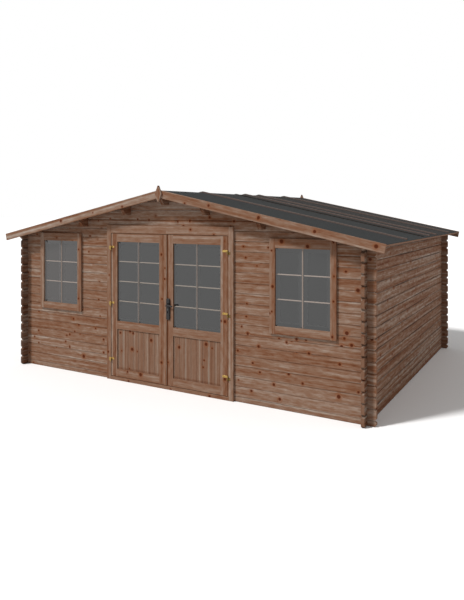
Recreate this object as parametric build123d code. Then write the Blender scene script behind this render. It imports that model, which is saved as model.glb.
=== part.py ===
from build123d import *
from math import cos, radians, sin, sqrt, tan
import os

# A garden log cabin: interlocking log walls, a shallow gabled felt roof on purlins,
# two framed windows and a half-glazed double door in the front gable.
# Millimetres. +X right, +Y towards the back, +Z up. The origin is on the ground
# under the middle of the cabin, and the front faces -Y.

# Driving dimensions: the log walls
CABIN_W = 4880.0          # between the outer faces of the side walls
CABIN_D = 3710.0          # between the outer faces of the front and back walls
LOG_H = 114.0             # height of one course
LOG_T = 36.0              # thickness of a log
GROOVE = 5.0              # bevel along each long edge of a log
END_BEVEL = 20.0          # bevel at the top and bottom of each log's end
LOG_END_L = 90.0          # how far crossing logs run past the corner
SIDE_COURSES = 16         # courses in a side wall, the top one planed to the roof
DOOR_COURSES = 16         # whole courses beside the doorway, over the half log
NOTCH_FIT = 0.3           # side clearance of a log in its corner notch

# Driving dimensions: the roof
PITCH = 11.8              # slope in degrees
EAVES_OVERHANG = 230.0    # roof past the faces of the side walls, measured level
GABLE_OVERHANG = 135.0    # roof boards past the faces of the gable walls
PLATE_DROP = 12.0         # planed off the outer edge of the top side log
ROOF_BOARD_T = 18.0
ROOF_BOARDS = 44          # boards side by side from front to back
JOINT_DEPTH = 3.0         # V joint between roof boards, and between panel boards
FELT_T = 3.0
BATTEN_W = 40.0
BATTEN_T = 15.0
BATTEN_STOP = 35.0        # battens end this far short of the eaves
BATTEN_SHARES = (-0.297, 0.003, 0.116, 0.35)    # of the cabin's depth, from its middle
PURLIN_W = 45.0
PURLIN_H = 145.0
PURLIN_SHARES = (0.238, 0.53)    # of half the cabin's width, from the ridge
PURLIN_TOE = 85.0         # underside of a purlin past the gable wall's face
PURLIN_RAKE = 64.0        # height of the slanting cut on a purlin's end
BARGE_H = 90.0
BARGE_T = 20.0
BARGE_LIP = 4.0           # top of a barge board over the felt
FINIAL_W = 94.0           # across the middle of the diamond
FINIAL_H = 188.0
FINIAL_POINT_W = 10.0     # blunt points, top and bottom
FINIAL_T = 20.0
FINIAL_TIP = 50.0         # finial's point over the barge boards' peak

# Driving dimensions: the frames in the front wall
CASING_LAP = 45.0         # frame boards lap the logs round an opening
CASING_T = 24.0           # outside frame board
LINING_T = 18.0           # inside frame board
FRAME_FIT = 0.3           # between a frame and the cut logs
DOOR_HALF_W = 881.0       # half of the doorway cut in the logs
DOOR_JAMB_W = 68.0
DOOR_HEAD_H = 98.0
DOOR_HEAD_LAP = 47.0      # head board laps the gable's first log
STOP_W = 12.0             # door stop on the frame
WINDOW_X = 1751.0         # middle of a window from the cabin's middle
WINDOW_CUT_W = 664.0      # window opening cut in the logs
WINDOW_SILL_COURSES = 7   # courses over the half log, up to the foot of the window
WINDOW_HEAD_COURSES = 15  # and up to its head
WINDOW_JAMB_W = 66.0
WINDOW_HEAD_H = 101.0
WINDOW_SILL_H = 84.0
WINDOW_SILL_LAP = 55.0    # sill board laps the log under it
GLASS_T = 4.0
GLASS_SET = 32.0          # glass behind the face of its frame
GLASS_GRIP = 8.0          # glass inside the groove of its frame
GROOVE_FIT = 0.3          # around glass and panels in their grooves
BAR_W = 24.0
BAR_DEPTH = 22.0
CROSS_BAR_DEPTH = 9.0
WINDOW_ROWS = 3
DOOR_ROWS = 4

# Driving dimensions: the doors
THRESHOLD_H = 42.0
DOOR_GAP = 6.0            # between a leaf and its frame
MEETING_GAP = 10.0        # between the two leaves
MEETING_X = 12.0          # middle of that gap, a little towards the active leaf
LEAF_T = 40.0
LEAF_SET = 4.0            # face of a leaf behind the face of the frame
OUTER_STILE_W = 94.0
PASSIVE_STILE_W = 110.0   # meeting stile of the left leaf
ACTIVE_STILE_W = 86.0     # meeting stile of the right leaf
BOTTOM_RAIL_H = 94.0
PANEL_H = 497.0
MIDDLE_RAIL_H = 98.0
TOP_RAIL_H = 102.0
PANEL_T = 18.0
PANEL_SET = 12.0          # panel behind the face of the leaf
PANEL_GRIP = 10.0
PANEL_BOARDS = 8          # upright boards in a panel

# Driving dimensions: hinges and handle
LOW_HINGE_H = 209.0       # over the foot of a leaf
HIGH_HINGE_H = 174.0      # under the head of a leaf
KNUCKLE_R = 8.0
KNUCKLE_H = 36.0
KNUCKLE_GAP = 0.4         # between the two halves of a hinge
PIN_R = 4.0
PIN_FIT = 0.1
PIN_REACH = 28.0          # pin inside the upper knuckle
LEAF_FLAP_W = 54.0
FRAME_FLAP_W = 30.0
FLAP_T = 3.0
AXIS_OUT = 9.0            # hinge axis in front of the door frame's face
PLATE_W = 44.0
PLATE_H = 252.0
PLATE_T = 10.0
PLATE_ROUND = 11.0        # corners of the plate
PLATE_EDGE = 3.0          # plate from the meeting edge of the leaf
PLATE_TOP = 1071.0
LEVER_Z = 1013.0
LEVER_L = 165.0
LEVER_H = 17.0
LEVER_T = 12.0
LEVER_ROUND = 7.0
LEVER_OUT = 30.0          # back of the lever from the plate
BOSS_R = 9.0
BOSS_FIT = 0.1
SPINDLE_R = 4.0
SPINDLE_GRIP = 1.0        # spindle inside each boss
SPINDLE_HOLE_R = 14.0

# Driving dimensions: the floor
BEARER_W = 58.0
BEARER_H = 40.0
BEARERS = 6
FLOOR_T = 19.0
FLOOR_BOARDS = 55
FLOOR_JOINT_DEPTH = 1.5
FLOOR_GAP = 0.3           # between the floor and the walls

# Places worked out from the sizes above
HALF_W = CABIN_W / 2
HALF_D = CABIN_D / 2
ROOF_HALF_W = HALF_W + EAVES_OVERHANG
PURLIN_PLACES = [share * HALF_W for share in PURLIN_SHARES]
BATTEN_PLACES = [share * CABIN_D for share in BATTEN_SHARES]
FIRST_SEAM = LOG_H / 2    # front and back walls start with a half log
DOOR_CUT_TOP = FIRST_SEAM + DOOR_COURSES * LOG_H
WINDOW_CUT_BOTTOM = FIRST_SEAM + WINDOW_SILL_COURSES * LOG_H
WINDOW_CUT_TOP = FIRST_SEAM + WINDOW_HEAD_COURSES * LOG_H
SLOPE = tan(radians(PITCH))
COS_PITCH = cos(radians(PITCH))
SIN_PITCH = sin(radians(PITCH))
RIDGE_UNDER = SIDE_COURSES * LOG_H - PLATE_DROP + HALF_W * SLOPE
FAR = 10000.0

WALL_FACE = -HALF_D
WALL_BACK = WALL_FACE + LOG_T
FRAME_FACE = WALL_FACE - CASING_T
FRAME_BACK = WALL_BACK + LINING_T
JAMB_IN = DOOR_HALF_W + CASING_LAP - DOOR_JAMB_W
HEAD_TOP = DOOR_CUT_TOP + DOOR_HEAD_LAP
HEAD_BOTTOM = HEAD_TOP - DOOR_HEAD_H
LEAF_FACE = FRAME_FACE + LEAF_SET
LEAF_BACK = LEAF_FACE + LEAF_T
LEAF_BOTTOM = THRESHOLD_H + DOOR_GAP
PANEL_BOTTOM = LEAF_BOTTOM + BOTTOM_RAIL_H
PANEL_TOP = PANEL_BOTTOM + PANEL_H
DOOR_GLASS_BOTTOM = PANEL_TOP + MIDDLE_RAIL_H
LEAF_TOP = HEAD_BOTTOM - DOOR_GAP
DOOR_GLASS_TOP = LEAF_TOP - TOP_RAIL_H
LEAF_EDGE = JAMB_IN - DOOR_GAP
LOW_HINGE = LEAF_BOTTOM + LOW_HINGE_H
HIGH_HINGE = LEAF_TOP - HIGH_HINGE_H
HINGE_HEIGHTS = (LOW_HINGE, (LOW_HINGE + HIGH_HINGE) / 2, HIGH_HINGE)
HINGE_X = JAMB_IN - DOOR_GAP / 2
HINGE_Y = FRAME_FACE - AXIS_OUT
BARGE_FACE = HALF_D + GABLE_OVERHANG + BARGE_T


def block(x, y, z):
    """A box between two values on each axis."""
    size = (x[1] - x[0], y[1] - y[0], z[1] - z[0])
    return Pos(sum(x) / 2, sum(y) / 2, sum(z) / 2) * Box(*size)


def prism_along_y(outline, y):
    """A solid with an outline in X and Z, between two values of Y."""
    wire = Polyline(*[(px, y[0], pz) for px, pz in outline], close=True)
    return extrude(make_face(wire), amount=y[1] - y[0], dir=(0, 1, 0))


def prism_along_x(outline, x):
    """A solid with an outline in Y and Z, between two values of X."""
    wire = Polyline(*[(x[0], py, pz) for py, pz in outline], close=True)
    return extrude(make_face(wire), amount=x[1] - x[0], dir=(1, 0, 0))


def mirrored(point_list):
    """The outline's left half: the same points with X reversed, back to front."""
    return [(-px, pz) for px, pz in reversed(point_list)]


def v_joint(length, depth):
    """A bar along X to cut a V joint with; it stands on one of its edges."""
    side = depth * sqrt(2)
    return Rot(45, 0, 0) * Box(length, side, side)


def log_wall(seams, top, half_length, top_reach=0.0):
    """Stacked logs along X with their outer face at Y 0 and bevelled ends."""
    outer = []
    ends = []
    for low, high in zip(seams, seams[1:]):
        outer += [(GROOVE, low), (0.0, low + GROOVE), (0.0, high - GROOVE), (GROOVE, high)]
        if high > top and top_reach:
            rake = top_reach - half_length + END_BEVEL
            ends += [(half_length - END_BEVEL, low), (top_reach, low + rake), (top_reach, high)]
        else:
            ends += [(half_length - END_BEVEL, low), (half_length, low + END_BEVEL)]
            ends += [(half_length, high - END_BEVEL), (half_length - END_BEVEL, high)]
    outer = list(dict.fromkeys(outer))
    ends = list(dict.fromkeys(ends))
    inner = [(LOG_T - py, pz) for py, pz in reversed(outer)]
    widest = max(half_length, top_reach) + LOG_H
    section = prism_along_x(outer + inner, (-widest, widest))
    return section & prism_along_y(ends + mirrored(ends), (-LOG_H, LOG_T + LOG_H))


def above_roof_boards():
    """All the space over the underside of the roof boards."""
    low = RIDGE_UNDER - SLOPE * FAR
    outline = [(0, RIDGE_UNDER), (FAR, low), (FAR, FAR), (-FAR, FAR), (-FAR, low)]
    return prism_along_y(outline, (-FAR, FAR))


def log_core(bottom, middle_x, middle_y):
    """The whole-thickness heart of a log in a crossing, with its side clearance."""
    half = LOG_T / 2 + NOTCH_FIT
    x = (middle_x - half, middle_x + half)
    y = (middle_y - half, middle_y + half)
    return block(x, y, (bottom + LOG_H / 4, bottom + LOG_H * 3 / 4))


def corner_cores(first_bottom):
    """The hearts of one pair of walls' logs at the four corners."""
    cores = []
    for k in range(-1, SIDE_COURSES + 1):
        for side_x in (-1, 1):
            for side_y in (-1, 1):
                middle = (side_x * (HALF_W - LOG_T / 2), side_y * (HALF_D - LOG_T / 2))
                cores.append(log_core(first_bottom + k * LOG_H, *middle))
    return Compound(cores)


def gable_end_wall():
    """The front wall without its openings, up to the roof boards."""
    ridge_logs = int((RIDGE_UNDER - FIRST_SEAM) // LOG_H) + 1
    seams = [0.0] + [FIRST_SEAM + k * LOG_H for k in range(ridge_logs + 1)]
    wall = Pos(0, WALL_FACE, 0) * log_wall(seams, FAR, HALF_W + LOG_END_L)
    wall = wall - above_roof_boards() - corner_cores(0.0)
    return wall - Compound([purlin_room(place) for place in all_purlin_places()])


def side_wall():
    """The right wall, its top log reaching out under the barge boards."""
    seams = [k * LOG_H for k in range(SIDE_COURSES + 1)]
    reach = HALF_D + GABLE_OVERHANG
    wall = log_wall(seams, (SIDE_COURSES - 1) * LOG_H, HALF_D + LOG_END_L, reach)
    wall = Pos(HALF_W, 0, 0) * Rot(0, 0, 90) * wall
    return wall - above_roof_boards() - corner_cores(FIRST_SEAM)


def all_purlin_places():
    return [-place for place in reversed(PURLIN_PLACES)] + [0.0] + PURLIN_PLACES


def purlin_bottom(place):
    return RIDGE_UNDER - SLOPE * abs(place) - PURLIN_H


def purlin_room(place):
    """The housing of one purlin in both gables."""
    half = PURLIN_W / 2 + NOTCH_FIT
    return block((place - half, place + half), (-HALF_D * 2, HALF_D * 2), (purlin_bottom(place), FAR))


def purlin(place):
    """One purlin, planed to the roof on top and cut on the slant at both ends."""
    x = (place - PURLIN_W / 2, place + PURLIN_W / 2)
    low = purlin_bottom(place)
    toe = HALF_D + PURLIN_TOE
    end = HALF_D + GABLE_OVERHANG
    half_side = [(toe, low), (end, low + PURLIN_RAKE), (end, FAR)]
    side = half_side + [(-py, pz) for py, pz in reversed(half_side)]
    return prism_along_x(side, x) - above_roof_boards()


def roof_point(level, height):
    """A point at some level distance from the ridge, square over the underside."""
    return (level + height * SIN_PITCH, RIDGE_UNDER - SLOPE * level + height * COS_PITCH)


def ridge_point(height):
    return (0.0, RIDGE_UNDER + height / COS_PITCH)


def roof_layer(low, high, level_end, y):
    """The right half of one layer of the roof, square cut at its lower end."""
    outline = [ridge_point(low), roof_point(level_end, low), roof_point(level_end, high), ridge_point(high)]
    return prism_along_y(outline, y)


def left_of(solid):
    return mirror(solid, about=Plane.YZ)


def behind(solid):
    return mirror(solid, about=Plane.XZ)


def roof_parts():
    """Boards, felt, battens, purlins, barge boards and finials."""
    run = (-HALF_D - GABLE_OVERHANG, HALF_D + GABLE_OVERHANG)
    eaves = ROOF_HALF_W - (ROOF_BOARD_T + FELT_T) * SIN_PITCH
    boards = roof_layer(0.0, ROOF_BOARD_T, eaves, run)
    joint = Rot(0, PITCH, 0) * v_joint(FAR, JOINT_DEPTH)
    board_w = (run[1] - run[0]) / ROOF_BOARDS
    boards -= [Pos(0, run[0] + k * board_w, RIDGE_UNDER) * joint for k in range(1, ROOF_BOARDS)]
    felt_top = ROOF_BOARD_T + FELT_T
    felt_edge = [roof_point(eaves, ROOF_BOARD_T), roof_point(eaves, felt_top)]
    felt_outline = [ridge_point(ROOF_BOARD_T)] + felt_edge + [ridge_point(felt_top)] + mirrored(felt_edge)
    felt = prism_along_y(felt_outline, run)
    battens = []
    for place in BATTEN_PLACES:
        y = (place - BATTEN_W / 2, place + BATTEN_W / 2)
        battens.append(roof_layer(felt_top, felt_top + BATTEN_T, eaves - BATTEN_STOP, y))
    barge_top = felt_top + BARGE_LIP
    barge_y = (-BARGE_FACE, -HALF_D - GABLE_OVERHANG)
    barge = roof_layer(barge_top - BARGE_H, barge_top, eaves, barge_y)
    peak = ridge_point(barge_top)[1] + FINIAL_TIP
    point = FINIAL_POINT_W / 2
    half_finial = [(point, peak - FINIAL_H), (FINIAL_W / 2, peak - FINIAL_H / 2), (point, peak)]
    finial = prism_along_y(half_finial + mirrored(half_finial), (-BARGE_FACE - FINIAL_T, -BARGE_FACE))
    return {
        "right_roof_boards": boards,
        "left_roof_boards": left_of(boards),
        "roof_felt": felt,
        "right_roof_battens": battens,
        "left_roof_battens": [left_of(b) for b in battens],
        "ridge_purlin": purlin(0.0),
        "right_purlins": [purlin(place) for place in PURLIN_PLACES],
        "left_purlins": [purlin(-place) for place in PURLIN_PLACES],
        "front_right_barge_board": barge,
        "front_left_barge_board": left_of(barge),
        "back_right_barge_board": behind(barge),
        "back_left_barge_board": behind(left_of(barge)),
        "front_finial": finial,
        "back_finial": behind(finial),
    }


def wall_parts():
    """The four log walls, with the gables over the doorway's head as pieces of their own."""
    whole = gable_end_wall()
    lower = block((-FAR, FAR), (-FAR, FAR), (-FAR, DOOR_CUT_TOP))
    below = whole & lower
    gable = whole - lower
    left_half = block((-FAR, -DOOR_HALF_W), (-FAR, FAR), (-FAR, FAR))
    window_cut = block(
        (-WINDOW_X - WINDOW_CUT_W / 2, -WINDOW_X + WINDOW_CUT_W / 2),
        (-FAR, FAR),
        (WINDOW_CUT_BOTTOM, WINDOW_CUT_TOP),
    )
    front_left = (below & left_half) - window_cut
    right = side_wall()
    return {
        "front_wall_left": front_left,
        "front_wall_right": left_of(front_left),
        "front_gable": gable,
        "back_wall": behind(below),
        "back_gable": behind(gable),
        "right_wall": right,
        "left_wall": left_of(right),
    }


def jamb(x_out, x_in, x_cut, z, cut_z):
    """A frame post that clasps the ends of the cut logs: boards outside and inside, web between."""
    web = (min(x_in, x_cut), max(x_in, x_cut))
    width = (min(x_out, x_in), max(x_out, x_in))
    outside = block(width, (FRAME_FACE, WALL_FACE), z)
    inside = block(width, (WALL_BACK, FRAME_BACK), z)
    return outside + inside + block(web, (WALL_FACE, WALL_BACK), cut_z)


def head(x, z_in, z_out, z_cut):
    """A frame's cross piece between its posts, clasping the log over or under the opening."""
    width = (min(z_in, z_out), max(z_in, z_out))
    web = (min(z_in, z_cut), max(z_in, z_cut))
    outside = block(x, (FRAME_FACE, WALL_FACE), width)
    inside = block(x, (WALL_BACK, FRAME_BACK), width)
    return outside + inside + block(x, (WALL_FACE, WALL_BACK), web)


def pane(x, z, face, grip, thickness):
    """Glass or a panel that runs into the groove of its frame on all sides."""
    return block((x[0] - grip, x[1] + grip), (face, face + thickness), (z[0] - grip, z[1] + grip))


def pane_groove(x, z, face, grip, thickness):
    return pane(x, z, face - GROOVE_FIT, grip + GROOVE_FIT, thickness + 2 * GROOVE_FIT)


def glazing_bars(x, z, glass_face, rows):
    """One upright bar and the cross bars that divide a pane, lying on its outer face."""
    back = glass_face - GROOVE_FIT
    middle = sum(x) / 2
    upright = (middle - BAR_W / 2, middle + BAR_W / 2)
    bars = block(upright, (back - BAR_DEPTH, back), z)
    row_h = (z[1] - z[0]) / rows
    for k in range(1, rows):
        level = z[0] + k * row_h
        bars += block(x, (back - CROSS_BAR_DEPTH, back), (level - BAR_W / 2, level + BAR_W / 2))
    return bars


def window_parts():
    """Frames, glass and bars of the two fixed windows."""
    half_cut = WINDOW_CUT_W / 2 - FRAME_FIT
    half_out = WINDOW_CUT_W / 2 + CASING_LAP
    half_in = half_out - WINDOW_JAMB_W
    low = WINDOW_CUT_BOTTOM - WINDOW_SILL_LAP
    high = WINDOW_CUT_TOP + CASING_LAP
    clear_z = (low + WINDOW_SILL_H, high - WINDOW_HEAD_H)
    cut_z = (WINDOW_CUT_BOTTOM + FRAME_FIT, WINDOW_CUT_TOP - FRAME_FIT)
    clear_x = (WINDOW_X - half_in, WINDOW_X + half_in)
    glass_face = FRAME_FACE + GLASS_SET
    groove = pane_groove(clear_x, clear_z, glass_face, GLASS_GRIP, GLASS_T)
    jambs = []
    for side in (-1, 1):
        places = [WINDOW_X + side * half for half in (half_out, half_in, half_cut)]
        jambs.append(jamb(*places, (low, high), cut_z) - groove)
    top = head(clear_x, clear_z[1], high, cut_z[1]) - groove
    sill = head(clear_x, clear_z[0], low, cut_z[0]) - groove
    glass = pane(clear_x, clear_z, glass_face, GLASS_GRIP, GLASS_T)
    bars = glazing_bars(clear_x, clear_z, glass_face, WINDOW_ROWS)
    return {
        "window_frame_jambs": jambs + [left_of(j) for j in jambs],
        "window_frame_heads": [top, left_of(top)],
        "window_frame_sills": [sill, left_of(sill)],
        "window_glass": [glass, left_of(glass)],
        "window_glazing_bars": [bars, left_of(bars)],
    }


def hinge_half(side, level, on_frame):
    """One half of a hinge: a knuckle with a flat flap on the frame's or the leaf's face."""
    if on_frame:
        z = (level - KNUCKLE_H, level - KNUCKLE_GAP / 2)
        flap_x = (HINGE_X, HINGE_X + FRAME_FLAP_W)
        strap_x = (HINGE_X, HINGE_X + KNUCKLE_R)
        seat = FRAME_FACE
    else:
        z = (level + KNUCKLE_GAP / 2, level + KNUCKLE_H)
        flap_x = (HINGE_X - LEAF_FLAP_W, HINGE_X - DOOR_GAP / 2)
        strap_x = (HINGE_X - KNUCKLE_R - FLAP_T, HINGE_X - PIN_R)
        seat = LEAF_FACE
    height = z[1] - z[0]
    knuckle = Pos(HINGE_X, HINGE_Y, sum(z) / 2) * Cylinder(KNUCKLE_R, height)
    half = knuckle + block(flap_x, (seat - FLAP_T, seat), z)
    half += block(strap_x, (HINGE_Y, seat), z)
    if on_frame:
        pin_h = height + KNUCKLE_GAP + PIN_REACH
        half += Pos(HINGE_X, HINGE_Y, z[0] + pin_h / 2) * Cylinder(PIN_R, pin_h)
    else:
        half -= Pos(HINGE_X, HINGE_Y, sum(z) / 2) * Cylinder(PIN_R + PIN_FIT, height)
    return half if side > 0 else left_of(half)


def door_frame_parts():
    """The doorway's posts, head and threshold, with the stops that the leaves close on."""
    cut = DOOR_HALF_W - FRAME_FIT
    post = jamb(DOOR_HALF_W + CASING_LAP, JAMB_IN, cut, (0.0, HEAD_TOP), (0.0, DOOR_CUT_TOP - FRAME_FIT))
    stop_y = (LEAF_BACK + DOOR_GAP, FRAME_BACK)
    post += block((JAMB_IN - STOP_W, JAMB_IN), stop_y, (0.0, HEAD_BOTTOM))
    beam = head((-JAMB_IN, JAMB_IN), HEAD_BOTTOM, HEAD_TOP, DOOR_CUT_TOP - FRAME_FIT)
    inner = JAMB_IN - STOP_W
    beam += block((-inner, inner), stop_y, (HEAD_BOTTOM - STOP_W, HEAD_BOTTOM))
    threshold = block((-JAMB_IN, JAMB_IN), (FRAME_FACE, LEAF_BACK + DOOR_GAP), (0.0, THRESHOLD_H))
    threshold += block((-inner, inner), (LEAF_BACK, FRAME_BACK), (0.0, THRESHOLD_H))
    halves = [hinge_half(side, level, True) for side in (-1, 1) for level in HINGE_HEIGHTS]
    return {
        "door_frame_jambs": [post, left_of(post)],
        "door_frame_head": beam,
        "door_threshold": threshold,
        "hinge_halves_on_frame": halves,
    }


def door_leaf(x, left_stile_w, right_stile_w, side):
    """One half-glazed leaf: stiles, rails, a boarded panel, glass with bars, hinge halves."""
    y = (LEAF_FACE, LEAF_BACK)
    clear_x = (x[0] + left_stile_w, x[1] - right_stile_w)
    glass_z = (DOOR_GLASS_BOTTOM, DOOR_GLASS_TOP)
    panel_z = (PANEL_BOTTOM, PANEL_TOP)
    glass_face = LEAF_FACE + GLASS_SET - LEAF_SET
    panel_face = LEAF_FACE + PANEL_SET
    grooves = pane_groove(clear_x, glass_z, glass_face, GLASS_GRIP, GLASS_T)
    grooves += pane_groove(clear_x, panel_z, panel_face, PANEL_GRIP, PANEL_T)
    stiles = [block((x[0], clear_x[0]), y, (LEAF_BOTTOM, LEAF_TOP)) - grooves]
    stiles.append(block((clear_x[1], x[1]), y, (LEAF_BOTTOM, LEAF_TOP)) - grooves)
    rail_z = [(LEAF_BOTTOM, PANEL_BOTTOM), (PANEL_TOP, DOOR_GLASS_BOTTOM), (DOOR_GLASS_TOP, LEAF_TOP)]
    rails = [block(clear_x, y, z) - grooves for z in rail_z]
    panel = pane(clear_x, panel_z, panel_face, PANEL_GRIP, PANEL_T)
    joint = Rot(0, 90, 0) * v_joint(FAR, JOINT_DEPTH)
    board_w = (clear_x[1] - clear_x[0]) / PANEL_BOARDS
    for joint_face in (panel_face, panel_face + PANEL_T):
        panel -= [Pos(clear_x[0] + k * board_w, joint_face, 0) * joint for k in range(1, PANEL_BOARDS)]
    return {
        "door_stiles": stiles,
        "door_rails": rails,
        "door_panel": panel,
        "door_glass": pane(clear_x, glass_z, glass_face, GLASS_GRIP, GLASS_T),
        "door_glazing_bars": glazing_bars(clear_x, glass_z, glass_face, DOOR_ROWS),
        "door_hinge_halves": [hinge_half(side, level, False) for level in HINGE_HEIGHTS],
    }


def rod_along_y(radius, x, z, y):
    return Pos(x, sum(y) / 2, z) * Rot(90, 0, 0) * Cylinder(radius, y[1] - y[0])


def handle_parts(meeting_edge):
    """The lever handle's two back plates, and the lever with its spindle."""
    middle = meeting_edge + PLATE_EDGE + PLATE_W / 2
    outline = RectangleRounded(PLATE_W, PLATE_H, PLATE_ROUND)
    plate = Rot(90, 0, 0) * extrude(outline, amount=PLATE_T)
    plate = Pos(middle, LEAF_FACE, PLATE_TOP - PLATE_H / 2) * plate
    plate -= rod_along_y(BOSS_R + BOSS_FIT, middle, LEVER_Z, (LEAF_FACE - PLATE_T, LEAF_FACE))
    leaf_middle = Plane.XZ.offset(-(LEAF_FACE + LEAF_BACK) / 2)
    arm_y = (LEAF_FACE - PLATE_T - LEVER_OUT - LEVER_T, LEAF_FACE - PLATE_T - LEVER_OUT)
    arm_z = (LEVER_Z - LEVER_H / 2, LEVER_Z + LEVER_H / 2)
    arm = block((middle - LEVER_H / 2, middle + LEVER_L), arm_y, arm_z)
    arm = fillet(arm.edges().filter_by(Axis.Y), LEVER_ROUND)
    boss = rod_along_y(BOSS_R, middle, LEVER_Z, (arm_y[1] - LEVER_T / 2, LEAF_FACE))
    outer = arm + boss
    spindle_y = (LEAF_FACE - SPINDLE_GRIP, LEAF_BACK + SPINDLE_GRIP)
    spindle = rod_along_y(SPINDLE_R, middle, LEVER_Z, spindle_y)
    lever = outer + mirror(outer, about=leaf_middle) + spindle
    hole = rod_along_y(SPINDLE_HOLE_R, middle, LEVER_Z, (LEAF_FACE, LEAF_BACK))
    return [plate, mirror(plate, about=leaf_middle)], lever, hole


def door_parts():
    """Both leaves and the handle, which is on the right leaf."""
    left_edge = MEETING_X - MEETING_GAP / 2
    right_edge = MEETING_X + MEETING_GAP / 2
    left = door_leaf((-LEAF_EDGE, left_edge), OUTER_STILE_W, PASSIVE_STILE_W, -1)
    right = door_leaf((right_edge, LEAF_EDGE), ACTIVE_STILE_W, OUTER_STILE_W, 1)
    plates, lever, hole = handle_parts(right_edge)
    right["door_stiles"][0] -= hole
    parts = {"left_" + name: piece for name, piece in left.items()}
    parts.update({"right_" + name: piece for name, piece in right.items()})
    parts["right_door_handle_plates"] = plates
    parts["right_door_lever"] = lever
    return parts


def floor_parts():
    """Floor boards on bearers, inside the log walls."""
    half_x = HALF_W - LOG_T - FLOOR_GAP
    y = (FRAME_BACK + FLOOR_GAP, HALF_D - LOG_T - FLOOR_GAP)
    pitch = (y[1] - y[0] - BEARER_W) / (BEARERS - 1)
    bearers = []
    for k in range(BEARERS):
        start = y[0] + k * pitch
        bearers.append(block((-half_x, half_x), (start, start + BEARER_W), (0.0, BEARER_H)))
    boards = block((-half_x, half_x), y, (BEARER_H, BEARER_H + FLOOR_T))
    joint = Rot(0, 0, 90) * v_joint(FAR, FLOOR_JOINT_DEPTH)
    board_w = 2 * half_x / FLOOR_BOARDS
    boards -= [Pos(k * board_w - half_x, 0, BEARER_H + FLOOR_T) * joint for k in range(1, FLOOR_BOARDS)]
    return {
        "floor_bearers": bearers,
        "floor_boards": boards,
    }


def main():
    os.makedirs("parts", exist_ok=True)
    groups = [wall_parts(), roof_parts(), window_parts(), door_frame_parts(), door_parts(), floor_parts()]
    for group in groups:
        for name, piece in group.items():
            solids = piece if isinstance(piece, list) else [piece]
            shape = Compound([s for one in solids for s in one.solids()])
            export_step(shape, "parts/" + name + ".step")


main()
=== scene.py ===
from math import cos, floor, pi, radians, sin

import bmesh
import bpy
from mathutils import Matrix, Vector


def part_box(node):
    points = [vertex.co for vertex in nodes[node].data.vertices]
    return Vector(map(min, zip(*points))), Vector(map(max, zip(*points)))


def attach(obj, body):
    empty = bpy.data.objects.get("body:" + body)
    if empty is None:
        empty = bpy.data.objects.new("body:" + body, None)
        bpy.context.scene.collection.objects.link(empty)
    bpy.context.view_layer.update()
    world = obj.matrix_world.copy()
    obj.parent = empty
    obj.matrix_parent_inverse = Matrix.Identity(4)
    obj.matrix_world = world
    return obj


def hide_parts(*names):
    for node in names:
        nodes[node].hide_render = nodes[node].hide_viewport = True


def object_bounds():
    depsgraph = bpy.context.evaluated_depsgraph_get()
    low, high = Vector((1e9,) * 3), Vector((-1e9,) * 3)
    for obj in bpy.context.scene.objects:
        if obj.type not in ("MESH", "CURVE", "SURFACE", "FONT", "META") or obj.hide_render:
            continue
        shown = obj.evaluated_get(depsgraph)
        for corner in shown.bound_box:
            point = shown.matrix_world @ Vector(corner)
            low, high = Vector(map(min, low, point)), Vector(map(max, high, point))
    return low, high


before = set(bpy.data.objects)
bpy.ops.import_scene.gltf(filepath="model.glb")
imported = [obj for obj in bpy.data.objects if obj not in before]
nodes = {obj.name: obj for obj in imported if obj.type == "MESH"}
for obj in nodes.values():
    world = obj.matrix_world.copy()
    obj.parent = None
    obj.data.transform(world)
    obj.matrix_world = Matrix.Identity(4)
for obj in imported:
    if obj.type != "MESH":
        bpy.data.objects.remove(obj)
cad_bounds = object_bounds()

# The cabin's own measures in metres, which the grain, the joints and the small pieces follow
COURSE = 0.114                # height of one log
HALF_LOG = COURSE / 2         # the front and back walls start with a half log
DOOR_LOG = 1.881              # the logs above this level run over the doors and windows
CROSSING = 1.857              # the side logs stick out past the front and back walls from here
SILL_FOOT = 0.790             # underside of the window sills
SILL_X = (1.380, 2.125)       # from the middle of the cabin to the ends of a sill
PITCH = radians(11.8)
PANEL_BOARDS = 8
PANEL_GRIP = 0.010            # how deep a door's boards sit in the frame round them
ROOF_BOARDS = 44
FLOOR_BOARDS = 55
UP, RIGHT, FRONT = Vector((0, 0, 1)), Vector((1, 0, 0)), Vector((0, -1, 0))


class Wire:
    """A value in a shader. Arithmetic on it adds Math nodes."""

    def __init__(self, shader, socket):
        self.shader = shader
        self.socket = socket

    def math(self, operation, *values):
        return self.shader.add("ShaderNodeMath", {"operation": operation}, dict(enumerate(values)))

    def __add__(self, other):
        return self.math("ADD", self, other)

    __radd__ = __add__

    def __sub__(self, other):
        return self.math("SUBTRACT", self, other)

    def __rsub__(self, other):
        return self.math("SUBTRACT", other, self)

    def __mul__(self, other):
        return self.math("MULTIPLY", self, other)

    __rmul__ = __mul__

    def __truediv__(self, other):
        return self.math("DIVIDE", self, other)

    def __rtruediv__(self, other):
        return self.math("DIVIDE", other, self)

    def __abs__(self):
        return self.math("ABSOLUTE", self)

    def __floor__(self):
        return self.math("FLOOR", self)

    def sign(self):
        return self.math("SIGN", self)

    def rest(self):
        return self.math("FRACT", self)

    def root(self):
        return self.math("SQRT", self)

    def wave(self):
        return self.math("SINE", self)

    def most(self, other):
        return self.math("MAXIMUM", self, other)

    def least(self, other):
        return self.math("MINIMUM", self, other)


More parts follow.
